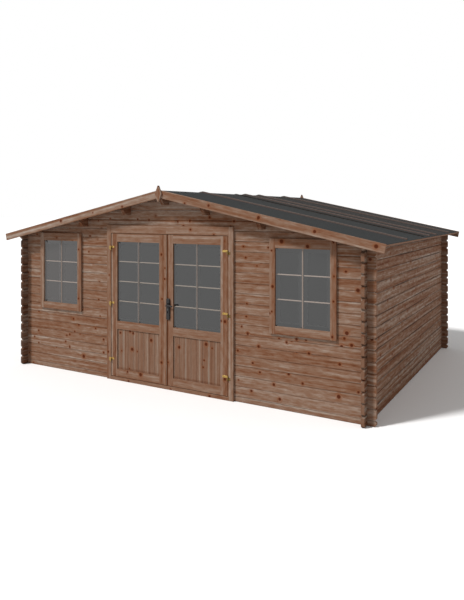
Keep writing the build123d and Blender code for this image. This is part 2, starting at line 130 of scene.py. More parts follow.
class Finish:
    """A node tree being filled: a material's, or the world's."""

    def __init__(self, tree):
        self.tree = tree
        tree.nodes.clear()

    def add(self, kind, settings, sockets, output=0):
        node = self.tree.nodes.new(kind)
        for key, value in settings.items():
            if key == "stops":
                ramp = node.color_ramp
                while len(ramp.elements) < len(value):
                    ramp.elements.new(1.0)
                for element, (place, colour) in zip(ramp.elements, value):
                    element.position = place
                    element.color = colour
            else:
                setattr(node, key, value)
        for key, value in sockets.items():
            if isinstance(value, Wire):
                self.tree.links.new(value.socket, node.inputs[key])
            else:
                node.inputs[key].default_value = value
        return Wire(self, node.outputs[output]) if node.outputs else None

    def step(self, value, low, high):
        """0 below low and 1 above high, smooth between them. High may be the smaller."""
        return self.add(
            "ShaderNodeMapRange",
            {"interpolation_type": "SMOOTHSTEP"},
            {"Value": value, "From Min": low, "From Max": high, "To Min": 0.0, "To Max": 1.0},
        )

    def vector(self, x, y, z):
        return self.add("ShaderNodeCombineXYZ", {}, {0: x, 1: y, 2: z})

    def split(self, vector):
        return [self.add("ShaderNodeSeparateXYZ", {}, {0: vector}, axis) for axis in "XYZ"]

    def measure(self, operation, *vectors):
        """A length or a distance, as a number."""
        return self.add("ShaderNodeVectorMath", {"operation": operation}, dict(enumerate(vectors)), "Value")

    def mix(self, share, first, second):
        """From the first colour at 0 to the second at 1. The node's colours go in at 6 and 7 and out at 2."""
        return self.add("ShaderNodeMix", {"data_type": "RGBA"}, {0: share, 6: first, 7: second}, 2)

    def noise(self, place, scale, detail, roughness=0.5, distortion=0.0):
        sockets = {"Vector": place, "Scale": scale, "Detail": detail}
        sockets.update({"Roughness": roughness, "Distortion": distortion})
        return self.add("ShaderNodeTexNoise", {"noise_dimensions": "3D"}, sockets)

    def chance(self, number):
        """A number from 0 to 1 that belongs to a whole number."""
        return self.add("ShaderNodeTexWhiteNoise", {"noise_dimensions": "1D"}, {"W": number})

    def ramp(self, value, stops):
        return self.add("ShaderNodeValToRGB", {"stops": stops}, {0: value})

    def place(self):
        """The place on the piece, in metres."""
        return self.add("ShaderNodeTexCoord", {}, {}, "Object")

    def facing(self):
        """X, Y and Z of the way the surface faces."""
        return self.split(self.add("ShaderNodeTexCoord", {}, {}, "Normal"))

    def bump(self, height, distance, strength):
        return self.add("ShaderNodeBump", {}, {"Strength": strength, "Distance": distance, "Height": height})


def new_material(name):
    material = bpy.data.materials.new(name)
    material.use_nodes = True
    return material, Finish(material.node_tree)


def surface(finish, **sockets):
    """The shader itself. Sockets are named with low lines for spaces."""
    named = {key.replace("_", " "): value for key, value in sockets.items()}
    shader = finish.add("ShaderNodeBsdfPrincipled", {}, named)
    finish.add("ShaderNodeOutputMaterial", {}, {0: shader})


def rgb(red, green, blue):
    return (red, green, blue, 1.0)


# Colours of the impregnated pine
DARK_STREAK = rgb(0.118, 0.040, 0.017)
RED_STREAK = rgb(0.180, 0.080, 0.043)
BODY_WOOD = rgb(0.222, 0.128, 0.084)
PALE_WOOD = rgb(0.285, 0.200, 0.152)
SAP_WOOD = rgb(0.370, 0.300, 0.250)
WOOD_TONES = [(0.0, DARK_STREAK), (0.25, RED_STREAK), (0.5, BODY_WOOD), (0.75, PALE_WOOD), (1.0, SAP_WOOD)]
KNOT_WOOD = rgb(0.068, 0.012, 0.003)
KNOT_HALO = rgb(0.205, 0.068, 0.024)
END_WOOD = rgb(0.215, 0.128, 0.086)
OPEN_SEAM = rgb(0.045, 0.022, 0.014)
# painted shade for the side logs where they stick out past the front and back walls
CORNER_PAINTED_SHADE = rgb(0.030, 0.014, 0.008)
# the darker colour of the boards' ends
DARK_END_GRAIN = rgb(0.035, 0.016, 0.010)
# painted shade for faces that look aside
SIDE_SHADE_COLOUR = rgb(0.030, 0.016, 0.010)

# How knots, strips and seams are drawn
KNOTS_ALONG, KNOTS_ACROSS = 3.1, 8.6      # cells of the knots' grid in a metre, along and across a board
SMALLEST_KNOT, KNOT_SPREAD = 0.007, 0.022  # a knot's least radius, and how much more the largest has
MARK_SCALE = 1.10                         # a listed knot is drawn this much larger than its radius
FAR_FROM_MARKS = 9.0                      # in radii, where no knot reaches
STRIP_WANDER, STRIP_BLUR = 0.008, 0.004   # how far a strip's edges stray, and how soft they are
LOOSE_WIDTH = 0.4                         # width that shares one look where no boards are set
SIDE_JUMP, FACE_JUMP = 37.0, 11.0         # set the boards' numbers apart, left to right and front to back


def axes(f, lay):
    """Where a point is along the grain, across the board's face and into it, and the grain's end."""
    x, y, z = f.split(f.place())
    nx, ny, nz = f.facing()
    if lay == "wide":
        return x, z, y, abs(nx)
    if lay == "deep":
        return y, z, x, abs(ny)
    if lay == "upright":
        return z, x, y, abs(nz)
    if lay == "floor":
        return y, x, z, abs(ny)
    if lay == "bearer":
        return x, y, z, abs(nx)
    # boards that lie down the slope of the roof, on either side of the ridge
    down = abs(x) * cos(PITCH) - z * sin(PITCH)
    square = abs(x) * sin(PITCH) + z * cos(PITCH)
    end = abs(abs(nx) * cos(PITCH) - nz * sin(PITCH))
    if lay == "barge":
        return down, square, y, end
    return down, y, square, end


def side_number(f, lay, x, y, z):
    """Sets the walls and the roof's halves apart, and leaves a long log the same all along."""
    if lay == "deep":
        return SIDE_JUMP * x.sign() - FACE_JUMP
    half = x.sign()
    if lay == "wide":
        unbroken = f.step(y, -0.01, 0.01).most(f.step(z, DOOR_LOG - 0.001, DOOR_LOG + 0.001))
        half = half * (1.0 - unbroken) + unbroken
    return SIDE_JUMP * half + FACE_JUMP * y.sign()


def random_knots(f, along, across, number, own, share):
    """A knot in each cell of a loose grid that is different in every board, where its luck is below share."""
    cell = f.vector(along * KNOTS_ALONG + number * 17.3, across * KNOTS_ACROSS + own * 9.0, 0.0)
    grid = {"voronoi_dimensions": "2D", "feature": "F1"}
    spot = {"Vector": cell, "Scale": 1.0, "Randomness": 0.9}
    middle = f.add("ShaderNodeTexVoronoi", grid, spot, "Position")
    luck = f.add("ShaderNodeSeparateColor", {}, {0: f.add("ShaderNodeTexVoronoi", grid, spot, "Color")})
    gap = f.split(f.add("ShaderNodeVectorMath", {"operation": "SUBTRACT"}, {0: cell, 1: middle}))
    gap_along = gap[0] / KNOTS_ALONG
    gap_across = gap[1] / KNOTS_ACROSS
    distance = (gap_along * gap_along * 0.7 + gap_across * gap_across).root()
    reach = distance / (SMALLEST_KNOT + KNOT_SPREAD * luck)      # in radii from the knot's middle
    there = f.step(luck, share + 0.02, share - 0.02)
    knot = f.step(reach, 1.25, 0.75) * there
    halo = f.step(reach, 3.2, 0.9) * there
    return knot, halo, gap_across


def marked_knots(f, marks, x, y, z):
    """Knots listed for the front of the cabin. The third coordinate keeps them off its back."""
    front = f.vector(x, z, y.sign())
    reach = FAR_FROM_MARKS
    for mark_x, mark_z, radius in marks:
        apart = f.measure("DISTANCE", front, (mark_x, mark_z, -1.0))
        reach = (apart / (radius * MARK_SCALE)).least(reach)
    knot = f.step(reach, 1.25, 0.70)
    halo = f.step(reach, 2.6, 0.9)
    return knot, halo


def seams(f, boards, along, pitch, groove, seed):
    """The joints between boards, more open in some places than in others."""
    from_seam = (0.5 - abs(boards.rest() - 0.5)) * pitch
    joint = floor(boards + 0.5)
    gaping = f.noise(f.vector(along * 1.1 + joint * 7.3, joint * 3.1 + seed, 0.0), 1.0, 2.0)
    openness = 0.35 + 0.9 * f.step(gaping, 0.36, 0.66)
    return f.step(from_seam, groove, groove * 0.2) * openness


def pine(name, lay, pitch=LOOSE_WIDTH, start=0.0, seed=0.0, tone=0.0, contrast=1.0, knots=0.62, groove=0.0,
         strips=(), marks=(), side_seed=True, board_tone=0.10, edge_band=0.16, corner_shade_and_dark_ends=False, end_shade=0.0,
         seam_depth=0.5, seam_colour=OPEN_SEAM, side_shade=0.0, side_light=None, tint=None, shade=None):
    """Impregnated pine. The grain runs along the boards, which are pitch wide and begin at start.

    Seed gives boards that would look alike another grain, and side_seed does so from wall to wall.
    Tone makes the wood paler or darker, board_tone sets the boards apart, contrast is the grain's strength.
    Knots is about the share of the grid's cells that hold one. Marks are knots listed for the front
    of the cabin, as x, z and radius. Strips are paler or darker bands of sapwood and heartwood, and in places
    painted light and painted shade, as axis, low, high and strength.
    Groove is half the width of a seam, seam_depth its strength and edge_band the paler wood beside it.
    The ends of the boards are darkened by corner_shade_and_dark_ends and end_shade, and
    corner_shade_and_dark_ends also puts painted shade on the logs past the crossing. The faces that look left
    or right get painted shade from side_shade, and those that look right get painted light from side_light.
    Tint is a share and the colour that it takes over. Shade is a function that adds to the tone.
    """
    material, f = new_material(name)
    along, across, depth, end = axes(f, lay)
    x, y, z = f.split(f.place())
    boards = (across - start) / pitch
    number = floor(boards) + seed
    if side_seed:
        number = number + side_number(f, lay, x, y, z)
    own = f.chance(number * 1.37)
    other = f.chance(number * 2.71 + 5.0)

    knot, halo, gap_across = random_knots(f, along, across, number, own, knots)
    if marks:
        marked_knot, marked_halo = marked_knots(f, marks, x, y, z)
        knot = knot.most(marked_knot)
        halo = halo.most(marked_halo)

    # the grain bends round the knots
    bent = across - gap_across * halo * 0.55

    def streak(length, fineness, jump, luck, shift, scale=1.0, detail=2.0, roughness=0.5, distortion=0.0):
        """Noise drawn out along the grain, which jumps from one board to the next."""
        spot = f.vector(along * length + number * jump, bent * fineness + luck * shift, depth * fineness)
        return f.noise(spot, scale, detail, roughness, distortion)

    long_streak = streak(0.9, 9.0, 3.7, own, 20.0, scale=1.6, detail=3.0, roughness=0.55)
    line_streak = streak(0.5, 30.0, 7.9, other, 40.0)
    short_streak = streak(8.5, 34.0, 9.1, own, 40.0, detail=3.0, roughness=0.6, distortion=0.3)
    thin_streak = streak(4.0, 120.0, 5.3, other, 30.0)
    rings = (long_streak * 95.0 + across * 60.0).wave()

    pale = 0.46 + tone + board_tone * (own - 0.5)
    for weight, grain in (0.20, long_streak), (1.15, line_streak), (0.95, short_streak), (0.50, thin_streak):
        pale = pale + contrast * weight * (grain - 0.5)
    pale = pale + contrast * 0.03 * rings
    if groove:
        near_low = f.step(boards.rest(), 0.24, 0.05) * f.step(other, 0.2, 0.6)
        near_high = f.step(boards.rest(), 0.80, 0.96) * f.step(own, 0.3, 0.7)
        pale = pale + edge_band * (near_low + near_high) * f.step(line_streak, 0.30, 0.52)
    for axis, low, high, strength in strips:
        line = {"x": x, "z": z, "across": across}[axis] + STRIP_WANDER * (short_streak - 0.5)
        above_low = f.step(line, low - STRIP_BLUR, low + STRIP_BLUR)
        below_high = f.step(line, high + STRIP_BLUR, high - STRIP_BLUR)
        pale = pale + strength * (above_low * below_high)
    if shade:
        pale = pale + shade(f, x, y, z)

    colour = f.ramp(pale, WOOD_TONES)
    if groove:
        colour = f.mix(seams(f, boards, along, pitch, groove, seed) * seam_depth, colour, seam_colour)
    if tint:
        colour = f.mix(tint[0], colour, tint[1])
    colour = f.mix(halo * 0.6, colour, KNOT_HALO)
    colour = f.mix(knot * 0.9, colour, KNOT_WOOD)
    # painted shade on the faces that look left or right, as in the reveals of the openings
    if side_shade:
        colour = f.mix(f.step(abs(f.facing()[0]), 0.7, 0.9) * side_shade, colour, SIDE_SHADE_COLOUR)
    # painted light on the faces that look right
    if side_light:
        colour = f.mix(f.step(f.facing()[0], 0.7, 0.9), colour, side_light)
    # Painted shade on the side logs where they stick out past the front and back walls, and a darker end
    # grain, much darker on the left of the cabin
    if corner_shade_and_dark_ends:
        colour = f.mix(f.step(abs(y), CROSSING - 0.005, CROSSING + 0.005) * 0.3, colour, CORNER_PAINTED_SHADE)
        end_shade = 0.12 + f.step(x, 0.0, -0.1) * 0.66

    # the ends of the boards show the yearly rings
    from_pith = f.measure("LENGTH", f.vector(across + own * 0.1 - 0.05, depth + other * 0.06, 0.0))
    ring = (from_pith * 1500.0 + 4.0 * short_streak).wave()
    end_colour = f.mix(end_shade, f.mix(0.5 + 0.32 * ring, RED_STREAK, END_WOOD), DARK_END_GRAIN)
    colour = f.mix(f.step(end, 0.72, 0.9) * 0.9, colour, end_colour)

    fibre = f.noise(f.vector(along * 12.0, bent * 420.0, depth * 420.0), 1.0, 2.0)
    height = fibre * 0.5 + thin_streak * 0.8 + knot * 0.6 + rings * 0.12
    surface(
        f,
        Base_Color=colour,
        Roughness=0.72 + 0.16 * (short_streak - 0.5) - 0.12 * knot,
        Specular_IOR_Level=0.04,
        Normal=f.bump(height, 0.0012, 0.6),
    )
    return material


def dress(material, *names):
    """Gives CAD nodes their finish."""
    for name in names:
        data = nodes[name].data
        if not data.materials:
            data.materials.append(material)
        for slot in nodes[name].material_slots:
            slot.material = material


# Walls
WALL_KNOTS = [
    (2.345, 1.320, 0.018), (2.230, 0.885, 0.019), (2.280, 0.770, 0.015), (1.485, 0.110, 0.015),
    (1.415, 0.255, 0.014), (1.875, 1.890, 0.015), (1.820, 0.635, 0.013), (1.230, 0.640, 0.014),
    (1.095, 0.765, 0.014), (1.680, 0.765, 0.013), (2.155, 0.565, 0.013), (2.205, 0.830, 0.012),
    (1.565, 0.720, 0.012), (1.750, 0.315, 0.012), (1.070, 1.595, 0.011), (0.970, 0.565, 0.011),
    (1.020, 0.835, 0.010), (2.350, 0.315, 0.011), (1.085, 1.090, 0.010), (2.145, 0.240, 0.019),
    (-1.790, 1.990, 0.020), (-1.350, 0.220, 0.021), (-1.005, 0.475, 0.013), (-1.005, 0.310, 0.012),
    (-2.190, 0.305, 0.010), (-1.600, 0.305, 0.010), (-1.090, 0.975, 0.010), (-1.260, 1.580, 0.009),
    (0.600, 2.030, 0.013), (1.220, 2.030, 0.014), (0.155, 1.980, 0.010), (-2.192, 0.471, 0.012),
    (-2.271, 0.380, 0.010), (-1.602, 0.477, 0.012), (-1.511, 0.526, 0.010), (-1.676, 0.377, 0.011),
    (-1.602, 0.319, 0.010), (-0.274, 1.995, 0.011), (0.326, 1.988, 0.012), (0.921, 1.990, 0.013),
    (-0.449, 2.002, 0.010), (-1.095, 1.981, 0.009),
]
# A darker joint, painted light just above the door head that lifts the eaves' shadow there, and a paler joint
# higher up
GABLE_STRIPS = [("z", 1.983, 1.999, -0.32), ("z", 1.948, 1.970, 0.12), ("z", 2.102, 2.117, 0.26)]
# painted shade along the foot of the side walls
SIDE_FOOT_SHADE = [("z", -0.010, 0.052, -0.32)]


def light_under_sills(f, x, y, z):
    """Painted light that lifts the sills' shadow: the front wall is paler just under the sills, more so on
    the left.
    """
    near, far = SILL_X
    fade = 0.015
    below = f.step(z, SILL_FOOT - 0.048, SILL_FOOT - 0.030) * f.step(z, SILL_FOOT + 0.020, SILL_FOOT)
    within = f.step(abs(x), near, near + fade) * f.step(abs(x), far, far - fade)
    at_front = f.step(y, 0.1, -0.1)
    at_left = f.step(x, 0.1, -0.1)
    return below * (within * at_front) * (0.15 + 0.11 * at_left)


front_logs = pine("front_logs", "wide", COURSE, HALF_LOG, groove=0.012, seam_depth=0.26, seed=3.0, knots=0.30,
                  strips=GABLE_STRIPS, marks=WALL_KNOTS, shade=light_under_sills)
side_logs = pine("side_logs", "deep", COURSE, groove=0.016, seam_depth=0.6, contrast=1.3, seed=11.0,
                 knots=0.42, strips=SIDE_FOOT_SHADE, corner_shade_and_dark_ends=True)
dress(front_logs, "front_wall_left", "front_wall_right", "front_gable", "back_wall", "back_gable")
dress(side_logs, "left_wall", "right_wall")

# Roof
BARGE_STRIPS = [("across", 2.283, 2.30, 0.03), ("across", 2.207, 2.224, 0.10), ("across", 2.232, 2.262, 0.05)]


def barge_tone(f, x, y, z):
    """The left boards are paler in their middle than the right ones."""
    square = abs(x) * sin(PITCH) + z * cos(PITCH)
    return 0.26 * f.step(x, 0.1, -0.1) * f.step(square, 2.213, 2.232) * f.step(square, 2.278, 2.258)


def on_barge(side, down, square, radius):
    """A knot on a front barge board, down the slope from the ridge and square to it."""
    x = side * (down * cos(PITCH) + square * sin(PITCH))
    return (x, square * cos(PITCH) - down * sin(PITCH), radius)


BARGE_KNOTS = [
    on_barge(1, 0.230, 2.258, 0.014), on_barge(1, 0.870, 2.260, 0.016), on_barge(1, 1.520, 2.256, 0.016),
    on_barge(1, 2.160, 2.257, 0.019), on_barge(-1, 1.160, 2.262, 0.016), on_barge(1, -0.427, 2.255, 0.013),
    on_barge(-1, 0.107, 2.226, 0.012),
]
roof_low, roof_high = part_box("right_roof_boards")
roof_board_w = (roof_high.y - roof_low.y) / ROOF_BOARDS
purlins = pine("purlins", "deep", seed=5.0, tone=-0.24, end_shade=0.85)
roof_boards = pine("roof_boards", "slope", roof_board_w, roof_low.y, groove=0.003)
battens = pine("battens", "slope", seed=2.0, contrast=0.6, knots=0.0, tint=(0.85, rgb(0.106, 0.086, 0.081)))
barges = pine("barge_boards", "barge", seed=7.0, contrast=0.9, tone=-0.04, knots=0.3, strips=BARGE_STRIPS,
              marks=BARGE_KNOTS, shade=barge_tone)
dress(purlins, "ridge_purlin", "left_purlins", "right_purlins")
dress(roof_boards, "left_roof_boards", "right_roof_boards")
dress(battens, "left_roof_battens", "right_roof_battens")
dress(barges, "front_left_barge_board", "front_right_barge_board", "back_left_barge_board",
      "back_right_barge_board")

finial_low, finial_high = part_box("front_finial")
finial_middle = (finial_low.z + finial_high.z) / 2


def finial_tone(f, x, y, z):
    """Paler along the edges of the diamond, darker in its middle and at the upper tip."""
    half_height = (finial_high.z - finial_low.z) / 2
    edge = abs(x) / finial_high.x + abs(z - finial_middle) / half_height
    tip = f.step(z, finial_high.z - 0.022, finial_high.z - 0.010)
    return 0.30 * f.step(edge, 0.76, 0.86) - 0.18 - 0.9 * tip


finials = pine("finials", "upright", seed=9.0, contrast=0.7, knots=0.1, side_seed=False, shade=finial_tone)
dress(finials, "front_finial", "back_finial")

# Frames and doors
FRAME_STRIPS = [
    ("x", -2.130, -2.106, -0.04), ("x", -2.104, -2.080, 0.14), ("x", -1.440, -1.428, 0.08),
    ("x", -1.408, -1.372, -0.10), ("x", 1.372, 1.400, 0.15), ("x", 1.405, 1.442, -0.14),
    ("x", 2.060, 2.078, 0.16), ("x", 2.090, 2.130, -0.02), ("x", -0.928, -0.902, -0.12),
    ("x", -0.876, -0.858, -0.10), ("x", 0.868, 0.889, 0.30), ("x", 0.892, 0.926, -0.08),
]
FRAME_KNOTS = [
    (1.412, 1.302, 0.015), (1.400, 1.683, 0.010), (1.402, 1.035, 0.009), (2.099, 1.194, 0.010),
    (2.099, 1.786, 0.009), (-1.419, 0.967, 0.011), (-1.419, 1.604, 0.010), (-0.905, 0.338, 0.012),
]
# The two strips from -0.008 to 0.030 are painted shade beside the meeting gap.
STILE_STRIPS = [
    ("x", -0.853, -0.838, 0.10), ("x", -0.828, -0.784, -0.28), ("x", -0.778, -0.754, -0.10),
    ("x", -0.106, -0.091, 0.04), ("x", -0.088, -0.076, -0.12), ("x", -0.075, -0.036, -0.26),
    ("x", -0.008, 0.010, -0.12), ("x", 0.011, 0.030, -0.70), ("x", 0.052, 0.084, -0.13),
    ("x", 0.085, 0.106, -0.10), ("x", 0.755, 0.788, 0.12), ("x", 0.792, 0.853, -0.20),
]
STILE_KNOTS = [
    (0.815, 0.232, 0.016), (0.815, 0.873, 0.016), (-0.069, 1.587, 0.013), (-0.069, 0.306, 0.014),
    (-0.022, 1.300, 0.012), (-0.060, 1.060, 0.011),
]
RAIL_STRIPS = [("z", 1.786, 1.812, 0.18), ("z", 1.812, 1.826, -0.10), ("z", 0.722, 0.740, -0.06)]
RAIL_KNOTS = [(-0.388, 0.118, 0.020), (-0.594, 0.125, 0.012)]
LEVEL_STRIPS = [
    ("z", 0.786, 0.812, -0.20), ("z", 0.856, 0.884, 0.06), ("z", 1.718, 1.748, 0.06),
    ("z", 1.755, 1.792, -0.06), ("z", 1.795, 1.813, -0.12), ("z", 1.895, 1.929, -0.08),
]
LEVEL_KNOTS = [
    (1.518, 1.782, 0.021), (1.815, 1.738, 0.017), (0.614, 0.012, 0.014), (-0.574, 0.012, 0.013),
    (0.067, 0.010, 0.009),
]
PANEL_FOOT = ("z", 0.130, 0.166, -0.16)
# Beside the stiles, the first strips of each panel are painted light that lifts the stiles' shadow on it.
PANEL_STRIPS = {
    "left": [
        ("x", -0.768, -0.745, 0.30), ("x", -0.745, -0.712, 0.14), ("x", -0.684, -0.648, 0.32),
        ("x", -0.500, -0.478, 0.20), ("x", -0.304, -0.280, 0.32), ("x", -0.152, -0.125, 0.10),
        ("x", -0.262, -0.250, -0.12), ("x", -0.466, -0.454, -0.12), ("x", -0.642, -0.628, -0.10), PANEL_FOOT,
    ],
    "right": [
        ("x", 0.093, 0.118, 0.16), ("x", 0.262, 0.284, 0.34), ("x", 0.455, 0.480, 0.22),
        ("x", 0.582, 0.604, 0.34), ("x", 0.680, 0.702, 0.24), ("x", 0.298, 0.312, -0.12),
        ("x", 0.498, 0.512, -0.12), ("x", 0.616, 0.630, -0.10), ("x", 0.732, 0.745, -0.10), PANEL_FOOT,
    ],
}
PANEL_KNOTS = {
    "left": [
        (-0.530, 0.407, 0.018), (-0.234, 0.549, 0.016), (-0.514, 0.605, 0.013), (-0.562, 0.624, 0.013),
        (-0.720, 0.591, 0.012),
    ],
    "right": [
        (0.557, 0.590, 0.018), (0.180, 0.513, 0.015), (0.530, 0.405, 0.010), (0.516, 0.324, 0.010),
        (0.638, 0.554, 0.009),
    ],
}
posts = pine("frame_uprights", "upright", seed=21.0, contrast=0.8, knots=0.25, strips=FRAME_STRIPS,
             marks=FRAME_KNOTS)
# The stiles' reveals get painted shade.
stiles = pine("door_stiles", "upright", seed=21.0, contrast=0.8, knots=0.2, strips=STILE_STRIPS,
              marks=STILE_KNOTS, side_shade=0.6)
rails = pine("door_rails", "wide", seed=25.0, contrast=0.7, knots=0.25, strips=RAIL_STRIPS, marks=RAIL_KNOTS)
level = pine("level_frames", "wide", seed=27.0, contrast=0.7, knots=0.3, strips=LEVEL_STRIPS,
             marks=LEVEL_KNOTS)
dress(posts, "door_frame_jambs", "window_frame_jambs")
dress(stiles, "left_door_stiles", "right_door_stiles")
dress(rails, "left_door_rails", "right_door_rails")
dress(level, "window_frame_heads", "window_frame_sills", "door_frame_head", "door_threshold")
for side in ("left", "right"):
    low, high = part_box(side + "_door_panel")
    board_w = (high.x - low.x - 2 * PANEL_GRIP) / PANEL_BOARDS
    # The panels' seams are painted pale, painted light that lifts the shade in their grooves.
    boards = pine(side + "_panel_boards", "upright", board_w, low.x + PANEL_GRIP, groove=0.004, seed=31.0,
                  contrast=0.48, tone=-0.12, board_tone=0.12, seam_depth=0.45, seam_colour=PALE_WOOD,
                  knots=0.12, edge_band=0.04, strips=PANEL_STRIPS[side], marks=PANEL_KNOTS[side],
                  tint=(0.10, rgb(0.175, 0.175, 0.150)))
    dress(boards, side + "_door_panel")
door_cross_finish = pine("door_cross_bars", "wide", seed=41.0, tone=0.3, contrast=0.25, knots=0.0,
                         tint=(0.8, rgb(0.268, 0.246, 0.222)))
window_cross_finish = pine("window_cross_bars", "wide", seed=41.0, tone=0.4, contrast=0.25, knots=0.0,
                           tint=(0.8, rgb(0.315, 0.275, 0.252)))
# The upright bars get painted light on their right sides.
upright_finish = pine("upright_bars", "upright", seed=43.0, tone=0.2, contrast=0.3, knots=0.0,
                      tint=(0.7, rgb(0.280, 0.240, 0.215)), side_light=rgb(0.450, 0.400, 0.365))

# Floor
floor_low, floor_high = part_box("floor_boards")
floor_board_w = (floor_high.x - floor_low.x) / FLOOR_BOARDS
floor_boards = pine("floor_boards", "floor", floor_board_w, floor_low.x, groove=0.0015, tone=0.15,
                    contrast=0.8)
dress(floor_boards, "floor_boards")
dress(pine("floor_bearers", "bearer", tone=0.1), "floor_bearers")


# Felt, glass and metal
def roofing_felt(name, dark, light):
    """Bitumen felt with a mineral grit, browner towards the back of the roof."""
    material, f = new_material(name)
    y = f.split(f.place())[1]
    grit = f.noise(f.place(), 900.0, 2.0, 0.6)
    cloud = f.noise(f.place(), 3.0, 3.0)
    colour = f.mix(0.5 * f.step(grit, 0.35, 0.65) + 0.5 * cloud, dark, light)
    surface(
        f,
        Base_Color=f.mix(0.30 * f.step(y, -0.6, 0.6), colour, rgb(0.026, 0.016, 0.011)),
        Roughness=0.9 + 0.1 * (cloud - 0.5),
        Specular_IOR_Level=0.05,
        Normal=f.bump(grit, 0.0012, 0.7),
    )
    return material


def dark_glass(name, cover):
    """Nearly black glass that mirrors the light round it. Cover is how little of the room shows through."""
    material, f = new_material(name)
    x = f.split(f.place())[0]
    smear = f.noise(f.place(), 2.2, 2.0)
    colour = f.mix(smear, rgb(0.010, 0.011, 0.011), rgb(0.016, 0.017, 0.017))
    # painted reflection: the left window's glass is paler, where the steeper view mirrors more light
    left_window_reflection = f.step(x, -1.2, -1.4)
    surface(
        f,
        Base_Color=f.mix(left_window_reflection, colour, rgb(0.034, 0.029, 0.027)),
        Roughness=0.02 + 0.03 * smear,
        IOR=1.5,
        Specular_IOR_Level=1.0,
        Alpha=cover,
    )
    return material


def yellow_zinc(name, dull, bright, left_side=None):
    """Yellow passivated steel. Left_side is its colour on the left half of the cabin, if that differs."""
    material, f = new_material(name)
    x = f.split(f.place())[0]
    blotch = f.noise(f.place(), 60.0, 3.0)
    scratch = f.noise(f.place(), 900.0, 2.0)
    colour = f.mix(f.step(blotch, 0.35, 0.65), dull, bright)
    if left_side:
        colour = f.mix(f.step(x, 0.1, -0.1), colour, left_side)
    surface(
        f,
        Base_Color=colour,
        Metallic=0.6,
        Roughness=0.36 + 0.12 * blotch,
        Normal=f.bump(scratch, 0.0002, 0.4),
    )
    return material


def enamelled_metal(name, dark, worn, edge):
    """Satin enamel worn paler in patches on its flat front, with painted shade on the faces that turn left or
    right, round its edges.
    """
    material, f = new_material(name)
    peel = f.noise(f.place(), 700.0, 2.0)
    wear = f.noise(f.place(), 45.0, 3.0)
    turned_aside_shade = f.step(abs(f.facing()[0]), 0.10, 0.55)
    surface(
        f,
        Base_Color=f.mix(turned_aside_shade, f.mix(wear, dark, worn), edge),
        Roughness=0.48 + 0.14 * wear,
        Specular_IOR_Level=0.2,
        Normal=f.bump(peel, 0.0002, 0.5),
    )
    return material


felt = roofing_felt("roofing_felt", rgb(0.022, 0.023, 0.023), rgb(0.036, 0.038, 0.038))
# near black: painted shade along the felt's lap
lap_shade_felt = roofing_felt("shaded_felt_laps", rgb(0.007, 0.004, 0.002), rgb(0.012, 0.007, 0.004))
keyhole_shade = roofing_felt("keyhole_shade", rgb(0.003, 0.003, 0.003), rgb(0.006, 0.006, 0.006))
pane_glass = dark_glass("window_pane", 0.94)
seal_finish = dark_glass("glazing_seal", 1.0)
leaf_zinc = yellow_zinc("yellow_zinc", rgb(0.33, 0.20, 0.045), rgb(0.47, 0.31, 0.09))
# The frame halves are darker than the leaves: painted shade under the leaf halves, paler on the left half of
# the cabin.
frame_zinc = yellow_zinc("shaded_yellow_zinc", rgb(0.12, 0.072, 0.018), rgb(0.20, 0.122, 0.030),
                         left_side=rgb(0.33, 0.21, 0.06))
enamel = enamelled_metal("black_enamel", rgb(0.020, 0.018, 0.018), rgb(0.036, 0.033, 0.033),
                         rgb(0.010, 0.008, 0.008))
worn_steel = enamelled_metal("worn_steel", rgb(0.050, 0.052, 0.052), rgb(0.085, 0.088, 0.088),
                             rgb(0.020, 0.020, 0.020))
dress(felt, "roof_felt")
dress(pane_glass, "window_glass", "left_door_glass", "right_door_glass")
dress(leaf_zinc, "left_door_hinge_halves", "right_door_hinge_halves")
dress(frame_zinc, "hinge_halves_on_frame")
dress(enamel, "right_door_handle_plates", "right_door_lever")


# The small pieces are drawn in a front view: x to the right, z up and the depth towards the front
LEAST_CORNER = 0.0006         # radius that a plate's corners keep at the top of the rim


def add_object(name, data):
    thing = bpy.data.objects.new(name, data)
    bpy.context.scene.collection.objects.link(thing)
    return thing


def new_piece(name, shape, material, body, smooth=False):
    mesh = bpy.data.meshes.new(name)
    bmesh.ops.recalc_face_normals(shape, faces=shape.faces)
    shape.to_mesh(mesh)
    shape.free()
    mesh.materials.append(material)
    if smooth:
        mesh.polygons.foreach_set("use_smooth", [True] * len(mesh.polygons))
    piece = add_object(name, mesh)
    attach(piece, body)
    return piece


def skin(shape, rings, capped=True):
    """Faces between rings of points that have the same count, and over the first and the last ring."""
    for near, far in zip(rings, rings[1:]):
        for k in range(len(near)):
            m = (k + 1) % len(near)
            shape.faces.new((near[k], near[m], far[m], far[k]))
    if capped:
        shape.faces.new(rings[0])
        shape.faces.new(list(reversed(rings[-1])))


def sweep(shape, outline, start, end, side, front):
    """A bar from start to end. The outline's points are (to the side, to the front)."""
    skin(shape, [[shape.verts.new(place + side * u + front * v) for u, v in outline]
                 for place in (start, end)])


def ring_of(shape, outline, low, high, front_y):
    """A mitred moulding round an opening. The outline's points are (inwards, to the front)."""
    rings = []
    for inwards, out in outline:
        x0, x1, z0, z1 = low.x + inwards, high.x - inwards, low.z + inwards, high.z - inwards
        corners = ((x0, z0), (x1, z0), (x1, z1), (x0, z1))
        rings.append([shape.verts.new((x, front_y - out, z)) for x, z in corners])
    skin(shape, rings + rings[:1], capped=False)


def tube(shape, centre, axis, levels, sides=24):
    """A turned piece: levels are (distance along the axis, radius)."""
    first = axis.orthogonal().normalized()
    second = axis.cross(first)
    turns = [2 * pi * k / sides for k in range(sides)]
    rings = []
    for distance, radius in levels:
        middle = centre + axis * distance
        rings.append([shape.verts.new(middle + radius * (first * cos(t) + second * sin(t))) for t in turns])
    skin(shape, rings)


def box_outline(half, rise):
    return [(-half, 0.0), (half, 0.0), (half, rise), (-half, rise)]


